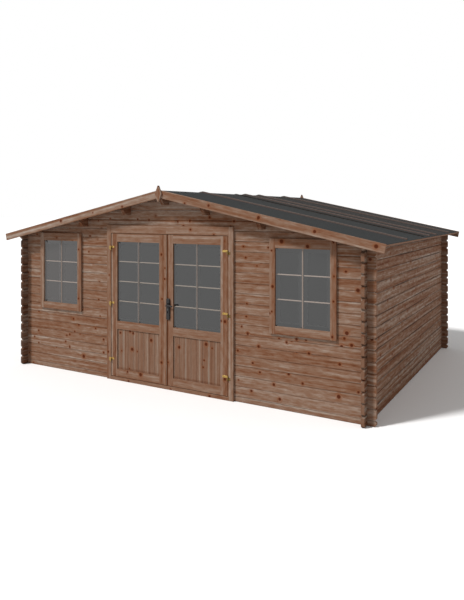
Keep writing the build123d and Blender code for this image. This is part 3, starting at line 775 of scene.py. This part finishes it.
def rounded(x0, x1, z0, z1, radius, steps=5):
    """The corners of a rounded rectangle in the front view."""
    points = []
    for cx, cz, start in ((x1 - radius, z0 + radius, -0.5), (x1 - radius, z1 - radius, 0.0),
                          (x0 + radius, z1 - radius, 0.5), (x0 + radius, z0 + radius, 1.0)):
        for k in range(steps + 1):
            turn = pi * (start + 0.5 * k / steps)
            points.append((cx + radius * cos(turn), cz + radius * sin(turn)))
    return points


def plate(shape, x, z, radius, back, thickness, edge, way=1, steps=4):
    """A flat plate on the face at back, with rounded corners and a rounded rim. Way is -1 inside a door."""
    layers = [(0.0, back)]
    for k in range(steps + 1):
        turn = pi / 2 * k / steps
        layers.append((edge * (1 - cos(turn)), back - way * (thickness - edge * (1 - sin(turn)))))
    rings = []
    for inset, y in layers:
        corner = max(radius - inset, LEAST_CORNER)
        outline = rounded(x[0] + inset, x[1] - inset, z[0] + inset, z[1] - inset, corner)
        rings.append([shape.verts.new((across, y, up)) for across, up in outline])
    skin(shape, rings)


def screw(shape, x, z, face, radius):
    """A countersunk cross-head screw, its head just proud of the face."""
    centre = Vector((x, face, z))
    head = [(-0.001, radius), (0.0002, radius), (0.0007, radius * 0.86), (0.0009, radius * 0.5)]
    tube(shape, centre, FRONT, head, 20)
    place = centre + FRONT * 0.00085
    half = radius * 0.55
    for turn in (0.4, 0.4 + pi / 2):
        side = Vector((cos(turn), 0, sin(turn)))
        end = Vector((-sin(turn), 0, cos(turn)))
        sweep(shape, box_outline(0.0004, 0.0003), place - end * half, place + end * half, side, FRONT)


# Glazing bars and seals
REBATE = 0.008                # glass behind the edge of its frame
PANE_GAP = 0.0003             # from a pane's face to the bars on it
PANE_W = 0.638                # one window's glass
WINDOW_ROWS, DOOR_ROWS = 3, 4
WINDOW_UPRIGHT, DOOR_UPRIGHT = (0.017, 0.014), (0.011, 0.025)     # width and depth
WINDOW_SEAL, DOOR_SEAL = (0.046, 0.45), (0.031, 0.39)             # width and the steepest slope
WINDOW_LIFTS, DOOR_LIFTS = (0.006, -0.004), (0.0, 0.0, 0.0)       # level bars, from an even spacing
CROSS_W, CROSS_DEPTH = 0.014, 0.008
NOSE_STEP = 0.0015            # a bar's nose is this much narrower on either side
NOSE_START = 0.62             # share of a bar's depth below its nose
SEAL_CURVE = 1.25             # power by which a seal's slope grows
SEAL_EDGE = 0.0001            # its thickness where it runs out


def bar_outline(width, depth, steps=7):
    """A glazing bar's section: straight sides, then a small step and a rounded nose."""
    half = width / 2
    nose_half = half - NOSE_STEP
    shoulder = depth * NOSE_START
    nose = [(nose_half, shoulder)]
    for k in range(1, steps):
        turn = k * pi / steps
        nose.append((nose_half * cos(turn), shoulder + (depth - shoulder) * sin(turn)))
    nose.append((-nose_half, shoulder))
    return [(-half, 0.0), (half, 0.0), (half, shoulder)] + nose + [(-half, shoulder)]


def seal_outline(width, slope, steps=10):
    """A hollow seal, steepest at its high edge and flat where it runs out on the pane."""
    outline = [(0.0, 0.0), (width, 0.0)]
    for step in range(steps + 1):
        share = step / steps
        rise = slope * width / (SEAL_CURVE + 1) * share ** (SEAL_CURVE + 1)
        outline.append((width * (1 - share), rise + SEAL_EDGE))
    return outline


def glazing(name, body, panes, rows, node, cross_finish, seal, upright, lifts):
    """The bars on both sides of the panes and the seals on their fronts, in place of the solids' bars."""
    upright_w, upright_depth = upright
    seal_section = seal_outline(*seal)
    uprights, crosses, seals = bmesh.new(), bmesh.new(), bmesh.new()
    for low, high in panes:
        centre = (low.x + high.x) / 2
        inner, outer = high.y + PANE_GAP, low.y - PANE_GAP
        left_edge, right_edge = centre - upright_w / 2, centre + upright_w / 2
        for face, way, depth in ((inner, -FRONT, CROSS_DEPTH), (outer, FRONT, upright_depth)):
            foot, top = Vector((centre, face, low.z)), Vector((centre, face, high.z))
            sweep(uprights, bar_outline(upright_w, depth), foot, top, RIGHT, way)
            for row in range(1, rows):
                level = low.z + (high.z - low.z) * row / rows + lifts[row - 1]
                for x0, x1 in ((low.x, left_edge), (right_edge, high.x)):
                    start, end = Vector((x0, face, level)), Vector((x1, face, level))
                    sweep(crosses, bar_outline(CROSS_W, CROSS_DEPTH), start, end, UP, way)
        ring_of(seals, seal_section, low, high, outer)
        for side, edge in ((-1, left_edge), (1, right_edge)):
            foot, top = Vector((edge, outer, low.z)), Vector((edge, outer, high.z))
            sweep(seals, seal_section, foot, top, RIGHT * side, FRONT)
    first = new_piece(name + "_upright_bars", uprights, upright_finish, body)
    new_piece(name + "_cross_bars", crosses, cross_finish, body)
    new_piece(name + "_glazing_seals", seals, seal_finish, body)
    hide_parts(node)


rebate = Vector((REBATE, 0.0, REBATE))
pane_low, pane_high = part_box("window_glass")
left_pane = (pane_low, Vector((pane_low.x + PANE_W, pane_high.y, pane_high.z)))
right_pane = (Vector((pane_high.x - PANE_W, pane_low.y, pane_low.z)), pane_high)
window_panes = [(low + rebate, high - rebate) for low, high in (left_pane, right_pane)]
glazing("window", "cabin", window_panes, WINDOW_ROWS, "window_glazing_bars", window_cross_finish,
        WINDOW_SEAL, WINDOW_UPRIGHT, WINDOW_LIFTS)
for side in ("left", "right"):
    low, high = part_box(side + "_door_glass")
    glazing(side + "_door", side + "_door", [(low + rebate, high - rebate)], DOOR_ROWS,
            side + "_door_glazing_bars", door_cross_finish, DOOR_SEAL, DOOR_UPRIGHT, DOOR_LIFTS)

# Hinges: a leaf half over a frame half, which carries the pin
HINGE_X, HINGE_Y = 0.855, -1.888
HINGE_LEVELS = (0.257, 0.9535, 1.650)
LEAF_FACE, FRAME_FACE = -1.875, -1.879
SUNK = 0.0005                 # a plate's back lies this far in what carries it
FLAP_T, FLAP_EDGE = 0.0035, 0.001
FLAP_RISE = FLAP_T - SUNK
FLAP_ROOT = 0.849             # a leaf's flap begins here, beside the pin
FRAME_FLAP_X, FRAME_SCREW_X = (0.8645, 0.888), 0.876
LEAF_LUG_X, FRAME_LUG_X = (0.843, 0.850), (0.860, 0.866)
LUG_EDGE = 0.0015
LEAF_KNUCKLE_Z, FRAME_KNUCKLE_Z = (0.002, 0.019), (-0.032, 0.002)     # above the hinge's own level
KNUCKLE_R = 0.0082
KNUCKLE_RIM = 0.0012
KNUCKLE_GAP = 0.0008
SCREW_R, SCREW_STEP = 0.0030, 0.019
HINGES = (                    # side, name, where the leaf's flap ends, and the frame's flap from foot to top
    (-1, "left", 0.806, (-0.024, 0.018)),
    (1, "right", 0.784, (-0.032, -0.001)),
)


def knuckle(shape, x, z0, z1):
    """The rolled barrel round the pin, a little narrower in its middle."""
    height = z1 - z0
    rim = KNUCKLE_RIM
    waist = KNUCKLE_R * 0.93
    lower, upper = height * 0.3, height * 0.7
    tube(shape, Vector((x, HINGE_Y, z0)), UP, [
        (0.0, KNUCKLE_R - rim), (rim, KNUCKLE_R), (lower, KNUCKLE_R), (lower + rim, waist),
        (upper - rim, waist), (upper, KNUCKLE_R), (height - rim, KNUCKLE_R), (height, KNUCKLE_R - rim)])


def span(side, near, far):
    """From left to right, of two distances from the middle of the cabin."""
    return sorted((side * near, side * far))


def leaf_half(shape, side, middle, flap_end):
    """A flap with its screws, the lug that reaches the pin, and the upper knuckle."""
    foot, top = [middle + up for up in LEAF_KNUCKLE_Z]
    plate(shape, span(side, flap_end, FLAP_ROOT), (middle - 0.006, top - 0.001), radius=0.004,
          back=LEAF_FACE + SUNK, thickness=FLAP_T, edge=FLAP_EDGE)
    plate(shape, span(side, *LEAF_LUG_X), (foot + 0.002, top - 0.002), radius=0.001, back=LEAF_FACE,
          thickness=0.016, edge=LUG_EDGE)
    knuckle(shape, side * HINGE_X, foot, top)
    for k in range(int((FLAP_ROOT - flap_end) / SCREW_STEP)):
        along = flap_end + 0.010 + SCREW_STEP * k
        up = 0.002 + 0.008 * (k % 2)
        screw(shape, side * along, middle + up, LEAF_FACE - FLAP_RISE, SCREW_R)


def frame_half(shape, side, middle, flap):
    """A flap with its screws, the lug that reaches the pin, and the lower knuckle."""
    foot, top = [middle + up for up in FRAME_KNUCKLE_Z]
    flap_foot, flap_top = [middle + up for up in flap]
    plate(shape, span(side, *FRAME_FLAP_X), (flap_foot, flap_top), radius=0.003, back=FRAME_FACE + SUNK,
          thickness=FLAP_T, edge=FLAP_EDGE)
    plate(shape, span(side, *FRAME_LUG_X), (foot + 0.002, top - 0.004), radius=0.001, back=FRAME_FACE,
          thickness=0.012, edge=LUG_EDGE)
    knuckle(shape, side * HINGE_X, foot, top - KNUCKLE_GAP)
    for up in (0.007, 0.024):
        screw(shape, side * FRAME_SCREW_X, flap_foot + up, FRAME_FACE - FLAP_RISE, SCREW_R)


frame_halves = bmesh.new()
for side, name, flap_end, frame_flap in HINGES:
    leaf_halves = bmesh.new()
    for middle in HINGE_LEVELS:
        leaf_half(leaf_halves, side, middle, flap_end)
        frame_half(frame_halves, side, middle, frame_flap)
    piece = new_piece(name + "_door_hinge_leaves", leaf_halves, leaf_zinc, name + "_door")
    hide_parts(name + "_door_hinge_halves")
piece = new_piece("frame_hinge_leaves", frame_halves, frame_zinc, "cabin")
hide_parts("hinge_halves_on_frame")

# The handle: a deep back plate inside and out, with a lock cylinder, and a short cranked lever
LEVER_X, LEVER_Z = 0.042, 1.013
LEAF_BACK = -1.835
LEAF_SIDES = ((LEAF_FACE, 1), (LEAF_BACK, -1))
BACK_PLATE_X, BACK_PLATE_Z = (0.0085, 0.061), (0.823, 1.0735)
PLATE_SCREW_X, PLATE_SCREWS_Z = 0.0365, (0.846, 1.055)
PLATE_T = 0.0165
OUTER_FACE = LEAF_FACE + SUNK - PLATE_T
CYLINDER_X, CYLINDER_Z = 0.034, 0.947
KEYHOLE_X, KEYHOLE_Z = 0.033, 0.917
SLOT_HALF = 0.0052            # half the width of the narrow foot of the cylinder and of the keyhole

plates = bmesh.new()
for face, way in LEAF_SIDES:
    plate(plates, BACK_PLATE_X, BACK_PLATE_Z, radius=0.016, back=face + SUNK * way, thickness=PLATE_T,
          edge=0.007, way=way)
tube(plates, Vector((LEVER_X, OUTER_FACE, LEVER_Z)), FRONT,
     [(-0.001, 0.0155), (0.003, 0.0155), (0.0045, 0.014), (0.005, 0.011)], 32)
for z in PLATE_SCREWS_Z:
    screw(plates, PLATE_SCREW_X, z, OUTER_FACE, 0.0045)
piece = new_piece("handle_back_plates", plates, enamel, "right_door")
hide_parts("right_door_handle_plates")

cylinder = bmesh.new()
tube(cylinder, Vector((CYLINDER_X, OUTER_FACE, CYLINDER_Z)), FRONT,
     [(-0.001, 0.0105), (0.0030, 0.0105), (0.0042, 0.0094), (0.0044, 0.0070)], 28)
cylinder_foot = [(-SLOT_HALF, 0.0), (SLOT_HALF, 0.0), (SLOT_HALF, 0.0030), (0.0040, 0.0040),
                 (-0.0040, 0.0040), (-SLOT_HALF, 0.0030)]
sweep(cylinder, cylinder_foot, Vector((CYLINDER_X, OUTER_FACE, CYLINDER_Z - 0.004)),
      Vector((CYLINDER_X, OUTER_FACE, CYLINDER_Z - 0.019)), RIGHT, FRONT)
new_piece("lock_cylinder", cylinder, worn_steel, "right_door")
# The keyhole is a black disc and slot on the plate, painted shade of the hole.
keyhole = bmesh.new()
tube(keyhole, Vector((KEYHOLE_X, OUTER_FACE, KEYHOLE_Z)), FRONT, [(-0.0005, 0.0080), (0.0008, 0.0080)], 28)
sweep(keyhole, box_outline(SLOT_HALF, 0.0006), Vector((KEYHOLE_X, OUTER_FACE, KEYHOLE_Z - 0.005)),
      Vector((KEYHOLE_X, OUTER_FACE, KEYHOLE_Z - 0.017)), RIGHT, FRONT)
new_piece("keyhole", keyhole, keyhole_shade, "right_door")

# Along the lever from its short tail to its tip: how far right, how high against the hub, and half its height
ARM = [
    (-0.0325, -0.0275, 0.0030), (-0.0290, -0.0265, 0.0056), (-0.0200, -0.0215, 0.0072),
    (-0.0090, -0.0150, 0.0086), (0.0000, -0.0120, 0.0096), (0.0120, -0.0140, 0.0094),
    (0.0280, -0.0205, 0.0096), (0.0440, -0.0238, 0.0098), (0.0580, -0.0245, 0.0097),
    (0.0670, -0.0245, 0.0084), (0.0720, -0.0245, 0.0060), (0.0745, -0.0245, 0.0026),
]
ARM_OUT = 0.034               # from the door's face to the middle of the lever
ARM_SIDES = 16
HUB = [(0.0, 0.0078), (0.012, 0.0078), (0.015, 0.0085), (0.026, 0.0090), (0.033, 0.0080), (0.036, 0.0055)]
lever = bmesh.new()
for face, way in LEAF_SIDES:
    arm_y = face - way * ARM_OUT
    rings = []
    for out, drop, half in ARM:
        ring = []
        for k in range(ARM_SIDES):
            turn = 2 * pi * k / ARM_SIDES
            y = arm_y + way * half * 0.75 * cos(turn)
            ring.append(lever.verts.new((LEVER_X + out, y, LEVER_Z + drop + half * sin(turn))))
        rings.append(ring)
    skin(lever, rings)
    tube(lever, Vector((LEVER_X, face - way * 0.006, LEVER_Z)), FRONT * way, HUB)
piece = new_piece("lever_handle", lever, enamel, "door_lever", smooth=True)
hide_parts("right_door_lever")

# The roofing felt laps over itself between the first and the second batten, near black as painted shade
LAP_Y = -0.235
LAP_STOPS = (-0.0015, 0.7, 1.4, 2.1, 2.68)    # down the slope from the ridge
LAP_OUTLINE = [                               # along the cabin, and up from the felt
    (-0.055, -0.0002), (-0.051, 0.0040), (-0.042, 0.0062), (-0.014, 0.0070), (-0.004, 0.0060), (0.0, 0.0040),
    (0.001, -0.0002),
]
felt_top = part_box("roof_felt")[1].z


def on_slope(side, down, y, up):
    """A point of the right or left roof: down the slope from the ridge, and up from the felt."""
    x = side * (down * cos(PITCH) + up * sin(PITCH))
    return Vector((x, y, felt_top - down * sin(PITCH) + up * cos(PITCH)))


laps = bmesh.new()
for side in (-1, 1):
    skin(laps, [[laps.verts.new(on_slope(side, down, LAP_Y + along, up)) for along, up in LAP_OUTLINE]
                for down in LAP_STOPS])
new_piece("felt_laps", laps, lap_shade_felt, "cabin")


# The stage: a white floor that keeps the shadow, a soft sun, an even sky and a low fill light
def seen_directly(f):
    """1 for what the camera sees itself, in a mirror or through glass, and 0 for light on other things."""
    rays = [f.add("ShaderNodeLightPath", {}, {}, name) for name in
            ("Is Camera Ray", "Is Glossy Ray", "Is Transmission Ray")]
    return rays[0].most(rays[1]).most(rays[2])


def ground(lit, seen, half_width):
    mesh = bpy.data.meshes.new("ground")
    shape = bmesh.new()
    bmesh.ops.create_grid(shape, x_segments=8, y_segments=8, size=half_width)
    shape.to_mesh(mesh)
    shape.free()
    piece = add_object("ground", mesh)
    piece.location.z = cad_bounds[0].z - 0.0005
    material, f = new_material("ground")
    surface(f, Base_Color=f.mix(seen_directly(f), lit, seen), Roughness=1.0, Specular_IOR_Level=0.0)
    mesh.materials.append(material)


def sun(name, left, height, strength, angle):
    """A sun lamp that stands left of the front by an angle, at a height above the horizon."""
    data = bpy.data.lights.new(name, "SUN")
    data.energy = strength
    data.angle = radians(angle)
    across, up = radians(left), radians(height)
    towards = Vector((-sin(across) * cos(up), -cos(across) * cos(up), sin(up)))
    add_object(name, data).rotation_euler = towards.to_track_quat("Z", "Y").to_euler()


def sky(strength):
    world = bpy.data.worlds.new("sky")
    world.use_nodes = True
    bpy.context.scene.world = world
    f = Finish(world.node_tree)
    light = strength + (1.0 - strength) * seen_directly(f)
    f.add("ShaderNodeOutputWorld", {}, {0: f.add("ShaderNodeBackground", {}, {0: rgb(1, 1, 1), 1: light})})


def camera():
    data = bpy.data.cameras.new("camera")
    data.sensor_width = 36.0
    data.lens = 34.4
    data.shift_x = -0.0375
    data.shift_y = -0.147
    data.clip_end = 400.0
    piece = add_object("camera", data)
    piece.location = (4.184, -7.296, 2.094)
    piece.rotation_euler = (pi / 2, 0.0, radians(28.9))
    bpy.context.scene.camera = piece


ground(lit=rgb(0.70, 0.70, 0.70), seen=rgb(0.945, 0.94, 0.935), half_width=150.0)
sun("sun", left=38.0, height=49.5, strength=3.1, angle=8.0)
sun("fill", left=-120.0, height=14.0, strength=0.4, angle=50.0)
sky(0.42)
camera()
bpy.context.scene.view_settings.view_transform = "Standard"
